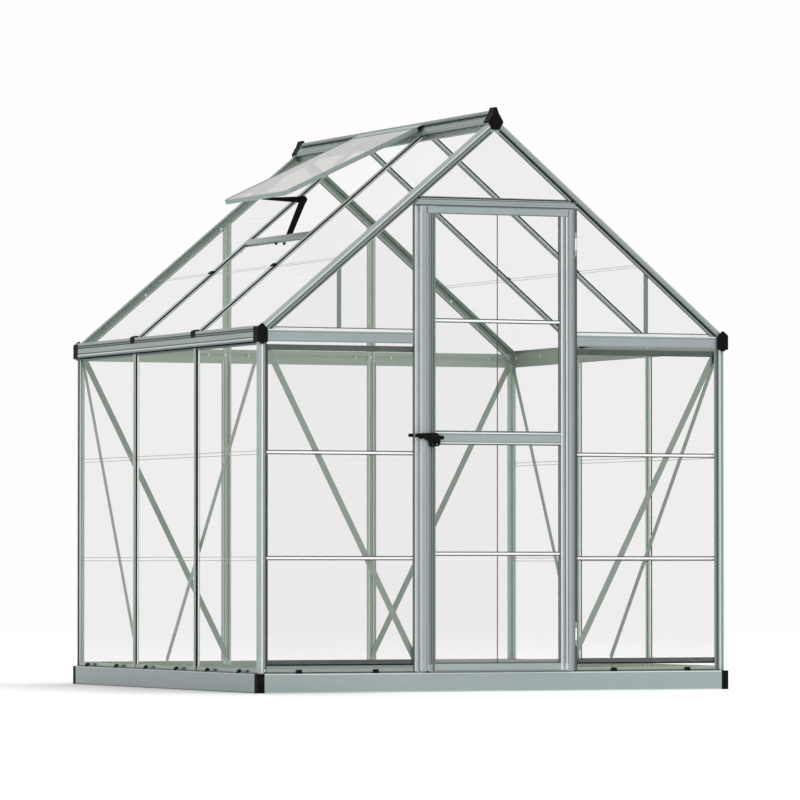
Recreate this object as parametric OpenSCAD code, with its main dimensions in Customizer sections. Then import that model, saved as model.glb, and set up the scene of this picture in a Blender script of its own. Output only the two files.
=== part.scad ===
// Hobby greenhouse: aluminium frame, clear polycarbonate sheets, hinged door and
// propped roof vent. Millimetres, +Z up. The origin is the middle of the base, at
// ground level. The door wall faces -Y.

/* [Overall size] */
// Width across the base, left to right
width = 1850; // [1500:10:3200]
// Length along the base, front to back
length = 1860; // [1500:10:3600]
// Height of the rafters' top line over the side walls
eave_h = 1292; // [1000:2:1700]
// Height where the two roof slopes would meet
apex_h = 2052; // [1750:2:2600]

/* [Base and frame] */
// Height of the steel kick plate
base_h = 68; // [40:1:140]
// Thickness of the kick plate sheet
base_t = 1.5; // [0.8:0.1:3]
// Width of the kick plate's turned-in flanges
base_flange = 27; // [22:1:50]
// How far the frame stands in from the plastic corners of the base
frame_inset = 12; // [6:1:25]
// Depth of every frame section, outside to inside
frame_d = 12; // [11:0.5:30]
// Face width of the wall posts and roof rafters
post_w = 32; // [26:1:60]
// Length of each leg of the corner posts
corner_leg = 26; // [22:1:50]
// Height of the sill rails on the base
sill_h = 16; // [12:1:30]
// Number of bays along each side
bays = 3; // [2:1:5]

/* [Eaves and ridge] */
// Height of the gutter section
gutter_h = 55; // [44:1:80]
// Height of the ridge crest over the meeting line of the slopes
crest_rise = 29; // [24:1:50]
// Half width of the ridge web, where the rafters butt
ridge_web = 12; // [8:1:20]
// Half width of the ridge over its lips
ridge_lip = 27; // [22:1:45]

/* [Sheets] */
// Thickness of the polycarbonate
sheet_t = 1; // [0.7:0.1:4]
// How far a sheet goes into its slot
sheet_bite = 9; // [6:0.5:12]
// Heights of the two sheet joints in the walls
wall_joints = [473, 846];
// Heights of the two sheet joints in the back gable
gable_joints = [1563, 1775];
// Height of the sheet joint in the roof slopes
roof_joint = 1541; // [1400:1:1800]
// Height of a clear sheet joiner
joiner_h = 12; // [10:1:20]

/* [Door] */
// Width of the door leaf
door_w = 604; // [520:2:800]
// Height of the underside of the transom over the door
transom_z = 1735; // [1500:1:2200]
// Height of the transom
transom_h = 23; // [18:1:40]
// Thickness of the door leaf
leaf_t = 17; // [14:1:30]
// Gap between the closed leaf and the frame, and round the leaf
leaf_gap = 6; // [5:0.5:10]
// Width of the raised edge of a stile and height of the end rails
door_rail = 25; // [20:1:40]
// Width of the set-back part of a stile
stile_inner = 31; // [15:1:50]
// Height of the middle rail
mid_rail_h = 41; // [30:1:60]
// Heights of the two sheet joints in the door
door_joints = [489, 1320];
// Radius of a hinge barrel
barrel_r = 4; // [3.5:0.5:7]
// Length of one hinge
hinge_len = 86; // [60:2:120]

/* [Roof vent] */
// Length of the vent down the slope
vent_len = 600; // [400:1:700]
// Opening angle of the vent from the roof slope
vent_open = 14.7; // [0:0.5:30]
// Face width of the vent frame
vent_rail = 20; // [14:1:30]
// Depth of the vent frame
vent_d = 17; // [12:1:25]

/* [Braces] */
// Width of a flat brace
brace_w = 22; // [15:1:35]
// Thickness of a flat brace
brace_t = 2; // [1:0.5:4]

/* [Hidden] */

$fn = 32;
// Gap between a sheet and the faces of its slot
fit = 0.3;
// Depth of the sheet's outer face behind the frame's outer face
sheet_d = 7.3;
// Room past a sheet's edge at the bottom of its slot
slot_room = 1;
// Larger than the whole building, for cutting planes
big = 6000;

// Least gap between faces that meet
touch = 0.02;

slot_a = sheet_d - fit;
slot_b = sheet_d + sheet_t + fit;
slot_deep = sheet_bite + slot_room;

// Outer faces of the frame
xo = width / 2 - frame_inset;
yo = length / 2 - frame_inset;
// Roof slope
eave_x = xo - 8;
slope = (apex_h - eave_h) / eave_x;
pitch = atan(slope);
// Vertical size of a depth square to the slope
function drop(p) = p / cos(pitch);
// Height of the roof's top line, less a depth square to the slope
function roof_z(x, p = 0) = apex_h - slope * abs(x) - drop(p);
// Distance from the middle at which the roof line has a height
function roof_x(z, p = 0) = (apex_h - drop(p) - z) / slope;

// Gable rafter face
rafter_face = 25;
rafter_step = 3;
rafter_leg = 36;

// Side bays
bay = 2 * yo / bays;
side_posts = [for (i = [1 : bays - 1]) -yo + i * bay];

// Gutter: outer and inner faces, top, bottom, and the seat for the rafters, which
// is also the top of the tie rails
gutter_x = width / 2 - 2;
gutter_in = xo - frame_d;
gutter_top = roof_z(eave_x) + 1;
gutter_z = gutter_top - gutter_h;
seat_z = roof_z(gutter_in, frame_d);
tie_h = seat_z - gutter_z;

// Ridge beam
ridge_z = roof_z(ridge_web, frame_d) - 14;
crest_z = apex_h + crest_rise;

// Door
leaf_half = door_w / 2;
post_half = post_w / 2 + 2;
door_x = leaf_half;
leaf_back = -yo - leaf_gap;
leaf_front = leaf_back - leaf_t;
leaf_z = base_h + leaf_gap;
leaf_top = transom_z - leaf_gap;
hinge_x = leaf_half + barrel_r + 1;
hinge_y = leaf_front + barrel_r;
mid_z = (door_joints[0] + door_joints[1]) / 2;
hinge_zs = [leaf_z + 86, leaf_top - 82 - hinge_len];

// Colours
alu = "#a4b0b0";
alu_inside = "#97a297";
plate = "#9ca7a8";
plastic = "#222222";
clear = [0.92, 0.94, 0.94, 0.35];
strip = "#6b716b";

// ---------------------------------------------------------------- sections
// H section: face width w along x, frame depth along y, slots on both sides
module h_section(w) {
    h = w / 2;
    web = h - slot_deep;
    groove = 3;
    polygon([[-h, 0], [-groove, 0], [-groove, 1.5], [groove, 1.5], [groove, 0], [h, 0],
        [h, slot_a], [web, slot_a], [web, slot_b], [h, slot_b], [h, frame_d],
        [4, frame_d], [4, frame_d - 4], [-4, frame_d - 4], [-4, frame_d],
        [-h, frame_d], [-h, slot_b], [-web, slot_b], [-web, slot_a], [-h, slot_a]]);
}

// L section of a corner: legs la along x and lb along y, slots in both ends
module l_section(la, lb) {
    r = 5;
    polygon([for (a = [0 : 15 : 90]) [r - r * sin(a), r - r * cos(a)],
        [0, lb], [slot_a, lb], [slot_a, lb - slot_deep], [slot_b, lb - slot_deep],
        [slot_b, lb], [frame_d, lb], [frame_d, frame_d], [la, frame_d], [la, slot_b],
        [la - slot_deep, slot_b], [la - slot_deep, slot_a], [la, slot_a], [la, 0]]);
}

// Sill section: stands on the base, slot in its top
module sill_section(h) {
    polygon([[0, 0], [frame_d, 0], [frame_d, h], [slot_b, h], [slot_b, h - slot_deep],
        [slot_a, h - slot_deep], [slot_a, h], [0, h]]);
}

// ---------------------------------------------------------------- placing
// Front wall and, turned half round, back wall: x stays, y is depth from the face
module on_front() { translate([0, -yo, 0]) children(); }
module on_back() { mirror([0, 1, 0]) on_front() children(); }
// Side walls: x is the place along the wall, y is depth from the face
module on_left() { translate([-xo, 0, 0]) rotate([0, 0, 90]) mirror([0, 1, 0]) children(); }
module both_sides() {
    children();
    mirror([1, 0, 0]) children();
}
module four_corners() {
    both_sides() {
        children();
        mirror([0, 1, 0]) children();
    }
}
// A section drawn as (depth, height), run along x from a to b
module run_x(a, b) {
    translate([a, 0, 0]) rotate([90, 0, 90]) linear_extrude(b - a) children();
}
// An outline drawn as (x, height), with its faces at two depths
module slab(d0, d1) {
    translate([0, d1, 0]) rotate([90, 0, 0]) linear_extrude(d1 - d0) children();
}
// A section drawn as (y, height over the roof line), run up the left slope
module up_left_slope() {
    translate([-eave_x, 0, eave_h]) rotate([0, -pitch, 0]) rotate([90, 0, 90])
        translate([0, 0, -200]) linear_extrude(eave_x / cos(pitch) + 400) children();
}
// Left slope's own frame: x runs down the slope from the apex, y along the
// building, z out of the roof
module left_slope_frame() {
    translate([0, 0, apex_h]) rotate([0, -pitch, 0]) mirror([1, 0, 0]) children();
}
// Distance down the slope of a point x from the middle, at a depth in the roof
function slope_s(x, p) = (x + p * sin(pitch)) / cos(pitch);
// All space to the left of x_near, no further than x_far, over z_low
module left_zone(x_far, x_near, z_low) {
    translate([-x_far, -big / 2, z_low]) cube([x_far - x_near, big, big]);
}
// All space under a line at a depth below the roof, from side to side
module below_roof(p) {
    translate([0, big / 2, 0]) rotate([90, 0, 0]) linear_extrude(big)
        polygon([[-big, roof_z(big, p)], [0, roof_z(0, p)], [big, roof_z(big, p)]]);
}

// ---------------------------------------------------------------- base
// How far the corner caps stand proud of the plates
cap_proud = 1;
cap_leg = base_flange + cap_proud;

// Channel along x, outer face on y = 0, flanges turned in at top and bottom
module base_channel(run) {
    translate([-run / 2, 0, 0]) difference() {
        cube([run, base_flange, base_h]);
        translate([-1, base_t, base_t]) cube([run + 2, base_flange, base_h - 2 * base_t]);
    }
}
module base_end() {
    translate([0, -length / 2 + cap_proud, 0]) base_channel(width - 2 * cap_leg);
}
module base_side() {
    translate([-width / 2 + cap_proud, 0, 0]) rotate([0, 0, 90]) mirror([0, 1, 0])
        base_channel(length - 2 * cap_leg);
}
module base_front() { color(plate) base_end(); }
module base_back() { color(plate) mirror([0, 1, 0]) base_end(); }
module base_left() { color(plate) base_side(); }
module base_right() { color(plate) mirror([1, 0, 0]) base_side(); }

// Moulded corner block between the plates, open underneath
module base_corner_caps() {
    r = 5;
    wall = 3;
    color(plastic) four_corners() translate([-width / 2, -length / 2, 0]) difference() {
        union() {
            translate([r, 0, 0]) cube([cap_leg - r, cap_leg, base_h]);
            translate([0, r, 0]) cube([r, cap_leg - r, base_h]);
            translate([r, r, 0]) cylinder(r = r, h = base_h);
        }
        translate([wall, wall, -1]) cube([cap_leg - 2 * wall, cap_leg - 2 * wall, base_h - wall + 1]);
    }
}

// ---------------------------------------------------------------- walls
// Bays of a side wall: clear spans between the posts' faces
side_ends = concat([-yo + corner_leg - post_w / 2], side_posts, [yo - corner_leg + post_w / 2]);
side_spans = [for (i = [0 : bays - 1]) [side_ends[i] + post_w / 2, side_ends[i + 1] - post_w / 2]];
// Clear spans of the end walls, right of the middle
front_span = [door_x + post_half, xo - corner_leg];
back_span = [door_x + post_w / 2, xo - corner_leg];
back_middle = [-door_x + post_w / 2, door_x - post_w / 2];

module sill_run(span) {
    run_x(span[0], span[1]) translate([0, base_h]) sill_section(sill_h);
}
threshold_h = 8;
module sill_rails() {
    color(alu_inside) {
        both_sides() {
            on_left() for (s = side_spans) sill_run(s);
            on_front() sill_run(front_span);
            on_back() sill_run(back_span);
        }
        on_back() sill_run(back_middle);
        on_front() translate([-door_x + post_half, 0, base_h])
            cube([2 * (door_x - post_half), frame_d, threshold_h]);
    }
}

module corner_posts() {
    color(alu) four_corners() translate([-xo, -yo, base_h])
        linear_extrude(gutter_z - base_h - touch) l_section(corner_leg, corner_leg);
}

module side_wall_posts() {
    color(alu) both_sides() on_left() for (p = side_posts) translate([p, 0, base_h])
        linear_extrude(gutter_z - base_h) h_section(post_w);
}

module back_wall_posts() {
    color(alu) both_sides() intersection() {
        on_back() translate([door_x, 0, base_h]) linear_extrude(apex_h) h_section(post_w);
        below_roof(rafter_leg);
    }
}

// Door post: a slot on the sheet side only, a bead groove by its outer edge
module door_post_section() {
    h = post_half;
    web = h - slot_deep;
    polygon([[-h, 0], [h - 8, 0], [h - 8, 1.5], [h - 6, 1.5], [h - 6, 0], [h, 0], [h, slot_a],
        [web, slot_a], [web, slot_b], [h, slot_b], [h, frame_d], [-h, frame_d]]);
}
module door_posts() {
    color(alu) both_sides() intersection() {
        on_front() translate([door_x, 0, base_h]) linear_extrude(transom_z - base_h)
            door_post_section();
        below_roof(rafter_leg);
    }
}

// Transom: a stepped section with the top sheet's slot, cut to the rafters
transom_proud = 10;
transom_step = 5;
transom_top = transom_z + transom_h;
module door_transom() {
    color(alu) intersection() {
        on_front() run_x(-door_x - post_half, door_x + post_half) translate([0, transom_z])
            polygon([[-transom_proud, 0], [frame_d, 0], [frame_d, transom_h],
                [slot_b, transom_h], [slot_b, transom_h - slot_deep],
                [slot_a, transom_h - slot_deep], [slot_a, transom_h],
                [-transom_step, transom_h], [-transom_step, 9], [-transom_proud, 7]]);
        below_roof(rafter_leg);
    }
    // Stop behind the top of the leaf
    color(alu) intersection() {
        on_front() run_x(-door_x + post_half, door_x - post_half)
            translate([0, transom_z - 12]) square([3, 12]);
        below_roof(rafter_leg + touch);
    }
}

module tie_run(a, b) {
    run_x(a, b) translate([0, gutter_z + tie_h / 2]) mirror([1, -1, 0]) h_section(tie_h);
}
module front_tie_rails() {
    color(alu) both_sides() on_front() tie_run(front_span[0], gutter_in);
}
// Apron inside the gutters and back rails, below the slot
apron_h = 12;
module apron(span) {
    run_x(span[0], span[1]) translate([frame_d - 3, gutter_z - apron_h]) square([3, apron_h]);
}
module back_tie_rails() {
    color(alu) on_back() {
        both_sides() {
            tie_run(back_span[0], gutter_in);
            apron(back_span);
        }
        tie_run(back_middle[0], back_middle[1]);
        apron(back_middle);
    }
}

// ---------------------------------------------------------------- eaves
// Gutter: a box that seats the rafters, a trough outside it, a slot beneath for the
// wall sheets, and grooves in its outer face, [below the top, height]
gutter_grooves = [[9.5, 5.5], [17, 5], [39, 4]];
trough_t = 3.5;
trough_z = seat_z - 14;
module gutter_section() {
    out = gutter_x - xo;
    top = gutter_top - gutter_z;
    difference() {
        polygon([[frame_d, 0], [frame_d, seat_z - gutter_z], [0, seat_z - gutter_z],
            [0, trough_z - gutter_z], [-out + trough_t, trough_z - gutter_z],
            [-out + trough_t, top], [-out, top], [-out, 0]]);
        for (g = gutter_grooves) translate([-out - 1, top - g[0] - g[1]]) square([3, g[1]]);
        translate([slot_a, -1]) square([slot_b - slot_a, slot_deep + 1]);
        translate([3, slot_deep + 3]) square([frame_d - 6, trough_z - gutter_z - slot_deep - 5]);
    }
}
module gutter() {
    on_left() {
        run_x(-yo, yo) translate([0, gutter_z]) gutter_section();
        for (s = side_spans) apron(s);
    }
}
module left_gutter() { color(alu) gutter(); }
module right_gutter() { color(alu) mirror([1, 0, 0]) gutter(); }

// Moulded eave corner: a gabled block on the end of the gutter and a side lap
module gutter_end_caps() {
    lap = 30;
    half = 20;
    mid = width / 2 - half;
    color(plastic) four_corners() {
        on_front() slab(-frame_inset, 0) polygon([[-mid - half, gutter_z - 4],
            [-mid - half, gutter_top - 7], [-mid, gutter_top + 9], [-mid + half, gutter_top - 13],
            [-mid + half, gutter_z - 4], [-mid + 8, gutter_z - 4], [-mid + 6, gutter_z - 10],
            [-mid - 6, gutter_z - 10], [-mid - 8, gutter_z - 4]]);
        translate([-width / 2, -yo, gutter_z - 4])
            cube([width / 2 - gutter_x, lap, gutter_top - gutter_z]);
    }
}

// ---------------------------------------------------------------- roof frame
module gable_rafter_section() {
    la = corner_leg;
    r = 4;
    polygon([for (p = [[r, 0], [1.2, 1.2], [0, r], [0, rafter_face], [rafter_step, rafter_face],
        [rafter_step, rafter_leg], [slot_a, rafter_leg], [slot_a, rafter_leg - slot_deep],
        [slot_b, rafter_leg - slot_deep], [slot_b, rafter_leg], [frame_d, rafter_leg],
        [frame_d, frame_d], [la, frame_d], [la, slot_b], [la - slot_deep, slot_b],
        [la - slot_deep, slot_a], [la, slot_a], [la, 0]]) [p[0], -p[1]]]);
}
// Half the gap left where the two rafters of a gable meet
mitre = 0.2;
module gable_rafter() {
    difference() {
        intersection() {
            up_left_slope() translate([-yo, 0]) gable_rafter_section();
            left_zone(xo - 1, mitre, seat_z + touch);
        }
        translate([-ridge_web, -big / 2, ridge_z]) cube([2 * ridge_web, big, big]);
    }
}
module front_gable_rafters() { color(alu) both_sides() gable_rafter(); }
module back_gable_rafters() { color(alu) mirror([0, 1, 0]) both_sides() gable_rafter(); }

module roof_rafters() {
    intersection() {
        up_left_slope() for (p = side_posts) translate([p, 0]) mirror([0, 1, 0]) h_section(post_w);
        left_zone(xo - 1, ridge_web + touch, seat_z + touch);
    }
}
module left_roof_rafters() { color(alu) roof_rafters(); }
module right_roof_rafters() { color(alu) mirror([1, 0, 0]) roof_rafters(); }

// Ridge: pitched top with drip lips over the sheets, slots in both sides of the web
lip_gap = 0.5;
lip_t = 11;
shoulder_z = crest_z - 17;
lip_z = roof_z(ridge_lip) + lip_gap;
function both_halves(half) =
    concat(half, [for (i = [len(half) - 1 : -1 : 0]) [-half[i][0], half[i][1]]]);
module ridge_outline() {
    polygon(both_halves([[5, crest_z], [ridge_web, shoulder_z], [ridge_lip, lip_z + lip_t],
        [ridge_lip, lip_z], [ridge_web, roof_z(ridge_web) + lip_gap], [ridge_web, ridge_z]]));
}
module ridge_beam() {
    color(alu) difference() {
        translate([0, yo, 0]) rotate([90, 0, 0]) linear_extrude(2 * yo) ridge_outline();
        both_sides() left_slope_frame() translate([slope_s(ridge_web - slot_deep, sheet_d), -big / 2,
            -slot_b]) cube([30, big, slot_b - slot_a]);
        translate([0, big / 2, 0]) rotate([90, 0, 0]) linear_extrude(big)
            polygon([[-4, apex_h + 2], [4, apex_h + 2], [4, crest_z - 6], [-4, crest_z - 6]]);
    }
}

module both_ends() {
    children();
    mirror([0, 1, 0]) children();
}
// Moulded ridge end: a plate over the end and a hood back over the crest
module ridge_end_caps() {
    plate_t = 3;
    hood = 42;
    low_z = crest_z - 72;
    top = [[4, crest_z + 10], [ridge_web + 2, shoulder_z], [ridge_lip + 2, lip_z + lip_t],
        [ridge_lip + 2, lip_z + 4]];
    color(plastic) both_ends() on_front() {
        slab(-plate_t, 0) polygon(both_halves(concat(top, [[14, low_z]])));
        slab(0, hood) polygon(both_halves(concat(top, [[ridge_lip, lip_z + 4],
            [ridge_lip, lip_z + lip_t], [ridge_web, shoulder_z], [5, crest_z]])));
    }
}

// Light studs behind the front gable's sheets
stud_w = 14;
stud_d = 8;
module gable_studs() {
    x = (front_span[0] + front_span[1]) / 2;
    d = slot_b + 0.4;
    color(alu_inside) both_sides() intersection() {
        on_front() translate([x - stud_w / 2, d, seat_z + touch])
            cube([stud_w, stud_d, apex_h]);
        below_roof(rafter_leg);
    }
}

// Small moulded clips: on the base, over the rafter feet, over the roof joints
module frame_clips() {
    clip_w = 20;
    rows = 2 * bays;
    color(plastic) {
        both_sides() {
            on_left() for (i = [0 : rows - 1]) base_clip(-yo + (i + 0.6) * 2 * yo / rows, clip_w);
            both_ends() on_front() for (x = [0.26, 0.78]) {
                base_clip(front_span[0] + x * (front_span[1] - front_span[0]), clip_w);
            }
            on_left() for (p = side_posts) translate([p - foot_clip_w / 2, 0, 0])
                rotate([90, 0, 90]) linear_extrude(foot_clip_w) rafter_foot_clip();
            left_slope_frame() for (p = side_posts)
                translate([roof_joint_s - 7, p - post_w / 2, 0]) cube([14, post_w, 4]);
        }
    }
}
// Cap over a rafter's foot, drawn as (depth, height): down the gutter's outer face
// and into its trough
foot_clip_w = 46;
module rafter_foot_clip() {
    out = gutter_x - xo + 0.3;
    over = 14;
    low = gutter_top - 12;
    polygon([[-out - 1.7, low - 10], [-out - 1.7, gutter_top - 1], [-out + 1.5, gutter_top + 5],
        [2, gutter_top + 8], [over, roof_z(xo - over) + 5], [over, roof_z(xo - over) + 0.3],
        [0.6, roof_z(xo - 0.6) + 0.3], [0.6, low], [trough_t - out + 0.8, low],
        [trough_t - out + 0.8, gutter_top + 0.3], [-out, gutter_top + 0.3], [-out, low - 10]]);
}
module base_clip(x, w) {
    translate([x - w / 2, 0, base_h]) rotate([90, 0, 90]) linear_extrude(w)
        polygon([[0, 0], [-9, 0], [-9, 3], [-3, 9], [0, 9]]);
}

// ---------------------------------------------------------------- braces
// Flat bar with round ends between two points (x, height) on a wall's inside
module flat_bar(a, b, w, w_end = 0) {
    run = b - a;
    half = [for (t = [-90 : 30 : 90]) [cos(t), sin(t)] * w / 2];
    k = w_end > 0 ? w_end / w : 1;
    translate(a) rotate(atan2(run[1], run[0]))
        polygon(concat([for (p = half) [norm(run) + p[0] * k, p[1] * k]], [for (p = half) -p]));
}
module brace(a, b) {
    slab(frame_d, frame_d + brace_t) flat_bar(a, b, brace_w);
}
module wall_braces() {
    low = 40;
    top_z = gutter_z - 20;
    foot_z = base_h + low;
    // Clear of the braces on the next wall
    in = frame_d + brace_t + brace_w / 2 + 8;
    corner_x = xo - in;
    corner_y = yo - in;
    mid_y = 4;
    color(alu_inside) both_sides() {
        both_ends() on_front() brace([door_x + 5, foot_z], [corner_x, top_z]);
        on_left() {
            brace([side_posts[bays - 2], foot_z], [corner_y, top_z]);
            brace([mid_y, foot_z], [-corner_y, top_z]);
            slab(frame_d, frame_d + brace_t) translate([mid_y - brace_w / 3, base_h])
                square([brace_w / 1.5, low]);
        }
    }
}

// ---------------------------------------------------------------- sheets
web_t = 1.2;
// From a joint's middle to a sheet's edge
seam_gap = web_t / 2 + fit;
// Edges of the rows of sheets from z0 to z1, parted at the joints between
function rows(z0, z1, joints) =
    let (inside = [for (j = joints) if (j > z0 + joiner_h && j < z1 - joiner_h) j])
    let (e = concat([z0], inside, [z1]), g = seam_gap, n = len(e) - 2)
    [for (i = [0 : n]) [e[i] + (i > 0 ? g : 0), e[i + 1] - (i < n ? g : 0)]];

// Flat sheets filling a span of a wall, in rows
module sheet_rows(span, z0, z1, joints) {
    for (r = rows(z0, z1, joints)) translate([span[0], sheet_d, r[0]])
        cube([span[1] - span[0], sheet_t, r[1] - r[0]]);
}
function bitten(span, far) = [span[0] - sheet_bite, min(span[1] + sheet_bite, far)];
sheet_low = base_h + sill_h - sheet_bite;
sheet_high = gutter_z + sheet_bite;
far_x = gutter_in - fit;

module front_wall_sheets() {
    color(clear) both_sides() on_front()
        sheet_rows(bitten(front_span, far_x), sheet_low, sheet_high, wall_joints);
}
module side_sheets() {
    on_left() for (s = side_spans) sheet_rows(bitten(s, big), sheet_low, sheet_high, wall_joints);
}
module left_wall_sheets() { color(clear) side_sheets(); }
module right_wall_sheets() { color(clear) mirror([1, 0, 0]) side_sheets(); }
module back_wall_sheets() {
    high = seat_z - sheet_bite;
    color(clear) {
        on_back() {
            sheet_rows(bitten(back_middle, big), sheet_low, sheet_high, wall_joints);
            both_sides() sheet_rows(bitten(back_span, far_x), sheet_low, sheet_high, wall_joints);
        }
        gable_cut() on_back() {
            sheet_rows(bitten(back_middle, big), high, apex_h, gable_joints);
            both_sides() for (s = [[back_span[0] - sheet_bite, back_seam - seam_gap],
                    [back_seam + seam_gap, far_x]])
                sheet_rows(s, high, apex_h, []);
        }
    }
}
module front_gable_sheets() {
    high = seat_z - sheet_bite;
    color(clear) gable_cut() on_front() {
        both_sides() difference() {
            sheet_rows([front_span[0] - sheet_bite, far_x], high, apex_h, []);
            translate([0, -1, transom_z - fit]) cube([front_span[0] + fit, frame_d, apex_h]);
        }
        intersection() {
            sheet_rows([-door_x, door_x], transom_top - sheet_bite, apex_h, []);
            below_roof(rafter_leg - sheet_bite);
        }
    }
}
// Keeps what lies in the gable rafters' slots and clear of the ridge
module gable_cut() {
    difference() {
        intersection() {
            union() children();
            below_roof(rafter_leg - sheet_bite);
        }
        translate([-ridge_web - fit, -big / 2, ridge_z - fit]) cube([2 * (ridge_web + fit), big, big]);
    }
}

// Roof sheets: clear spans between rafters, given as y, and place down the slope
roof_top_s = slope_s(ridge_web - sheet_bite, sheet_d);
roof_end_x = min(xo - 5, gutter_in + (frame_d - sheet_d - sheet_t - fit) / sin(pitch));
roof_end_s = slope_s(roof_end_x, sheet_d + sheet_t);
roof_joint_s = (apex_h - roof_joint) / sin(pitch);
vent_bay = floor(bays / 2);
// Hinge line of the roof vent, [from the middle, height], and its cross rail
vent_at = [22, crest_z - 13];
sill_s = slope_s(vent_at[0], 0) + vent_len - 33;
module roof_panel(y, s0, s1) {
    for (r = rows(s0, s1, [roof_joint_s])) translate([r[0], y[0], -sheet_d - sheet_t])
        cube([r[1] - r[0], y[1] - y[0], sheet_t]);
}
module left_roof_sheets() {
    color(clear) left_slope_frame() for (i = [0 : bays - 1])
        roof_panel(bitten(side_spans[i], big),
            i == vent_bay ? sill_s + vent_sill_w - sheet_bite : roof_top_s, roof_end_s);
}
module right_roof_sheets() {
    color(clear) mirror([1, 0, 0]) left_slope_frame() for (s = side_spans)
        roof_panel(bitten(s, big), roof_top_s, roof_end_s);
}

// Clear joiner, drawn as (depth, height) about the joint
module joiner_section(d) {
    lip = 1;
    for (p = [d - fit - lip, d + sheet_t + fit]) translate([p, -joiner_h / 2]) square([lip, joiner_h]);
    translate([d - fit, -web_t / 2]) square([sheet_t + 2 * fit, web_t]);
}
module joiner(span, z) {
    run_x(span[0], span[1]) translate([0, z]) joiner_section(sheet_d);
}
// Thin clear seam between two sheets side by side, drawn as (x, depth)
seam_w = 6;
back_seam = (back_span[0] + back_span[1]) / 2;
module seam_section(d) {
    lip = 1;
    for (p = [d - fit - lip, d + sheet_t + fit]) translate([-seam_w / 2, p]) square([seam_w, lip]);
    translate([-web_t / 2, d - fit]) square([web_t, sheet_t + 2 * fit]);
}
module sheet_joiners() {
    high_joint = gable_joints[1] + joiner_h / 2;
    over_posts = roof_z(back_middle[1], rafter_leg) < high_joint - joiner_h;
    gable_half = over_posts ? roof_x(high_joint, rafter_leg) : back_middle[1];
    color(clear) {
        both_sides() {
            for (z = wall_joints) {
                on_left() for (s = side_spans) joiner(s, z);
                on_front() joiner(front_span, z);
                on_back() joiner(back_span, z);
            }
            left_slope_frame() for (s = side_spans) translate([roof_joint_s, 0, 0])
                translate([0, s[1], 0]) rotate([90, 0, 0]) linear_extrude(s[1] - s[0])
                    mirror([-1, 1, 0]) mirror([1, 0, 0]) joiner_section(sheet_d);
        }
        on_back() {
            for (z = concat(wall_joints, [gable_joints[0]])) joiner(back_middle, z);
            joiner([-gable_half, gable_half], gable_joints[1]);
        }
        both_sides() intersection() {
            on_back() translate([back_seam, 0, seat_z + touch]) linear_extrude(apex_h)
                seam_section(sheet_d);
            below_roof(rafter_leg + touch);
        }
    }
}

// Translucent strips on the inner face of the front wall sheets, by the frame
strip_w = 10;
module strip_box(x0, x1, z0, z1) {
    translate([x0, sheet_d + sheet_t, z0]) cube([x1 - x0, 1, z1 - z0]);
}
module upright_strip(x0, z0, z1, joints) {
    e = concat([z0], joints, [z1]);
    n = len(e) - 2;
    for (i = [0 : n]) strip_box(x0, x0 + strip_w, e[i] + (i > 0 ? joiner_h / 2 + 1 : 0),
        e[i + 1] - (i < n ? joiner_h / 2 + 1 : 0));
}
module sheet_edge_strips() {
    low = base_h + sill_h + 11;
    high = gutter_z - strip_w;
    band = 21;
    color(strip) both_sides() on_front() {
        upright_strip(front_span[1] - strip_w, low, high, wall_joints);
        strip_box(front_span[0], front_span[1] - strip_w, low, low + band);
        strip_box(front_span[0], front_span[1] - strip_w, high - band, high);
    }
}

// ---------------------------------------------------------------- roof vent
// The vent's own frame: x runs down the vent from its hinge line, z out of it
vent_half = bay / 2 - 3;
vent_head = 18;
vent_corner = 26;
vent_pitch = pitch - vent_open;
vent_sill_w = 33;
vent_sheet_d = 1.5;
vent_rim = 2.5;
vent_y = side_ends[vent_bay] + bay / 2;
function vent_xz(u, n) = [-vent_at[0] - u * cos(vent_pitch) - n * sin(vent_pitch),
    vent_at[1] - u * sin(vent_pitch) + n * cos(vent_pitch)];
module vent_space() {
    translate([-vent_at[0], vent_y, vent_at[1]]) rotate([0, -vent_pitch, 0]) mirror([1, 0, 0])
        children();
}
module vent_outline(i) {
    r = vent_corner - i;
    end = vent_len - i;
    half = vent_half - i;
    translate([vent_head + i, -half]) square([end - r - vent_head - i, 2 * half]);
    translate([vent_head + i, r - half]) square([end - vent_head - i, 2 * (half - r)]);
    for (y = [r - half, half - r]) translate([end - r, y]) circle(r);
}
// Rails with a rebate round the top, where the sheet lies, and the hinge leaf
module roof_vent_frame() {
    rebate = vent_sheet_d + sheet_t + touch;
    color(alu) difference() {
        vent_space() difference() {
            union() {
                translate([0, 0, -vent_d]) linear_extrude(vent_d) vent_outline(0);
                translate([-15, -vent_half, -2.5]) cube([vent_head + 15 + vent_rim, 2 * vent_half, 2.5]);
            }
            translate([0, 0, -vent_d - 1]) linear_extrude(vent_d + 2) vent_outline(vent_rail);
            translate([0, 0, -rebate]) linear_extrude(rebate + 1) vent_outline(vent_rim);
        }
        translate([0, yo, 0]) rotate([90, 0, 0]) linear_extrude(2 * yo) ridge_outline();
    }
}
module roof_vent_sheet() {
    color(clear) vent_space() translate([0, 0, -vent_sheet_d - sheet_t]) linear_extrude(sheet_t)
        vent_outline(vent_rim + fit);
}
// Cross rail under the vent's lower edge, with the slot for the sheet below it
module roof_vent_sill() {
    y = side_spans[vent_bay];
    w = vent_sill_w;
    color(alu) left_slope_frame() translate([sill_s, y[1], 0]) rotate([90, 0, 0])
        linear_extrude(y[1] - y[0]) polygon([[0, 0], [w, 0], [w, -slot_a], [w - slot_deep, -slot_a],
            [w - slot_deep, -slot_b], [w, -slot_b], [w, -frame_d], [0, -frame_d]]);
}
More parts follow.
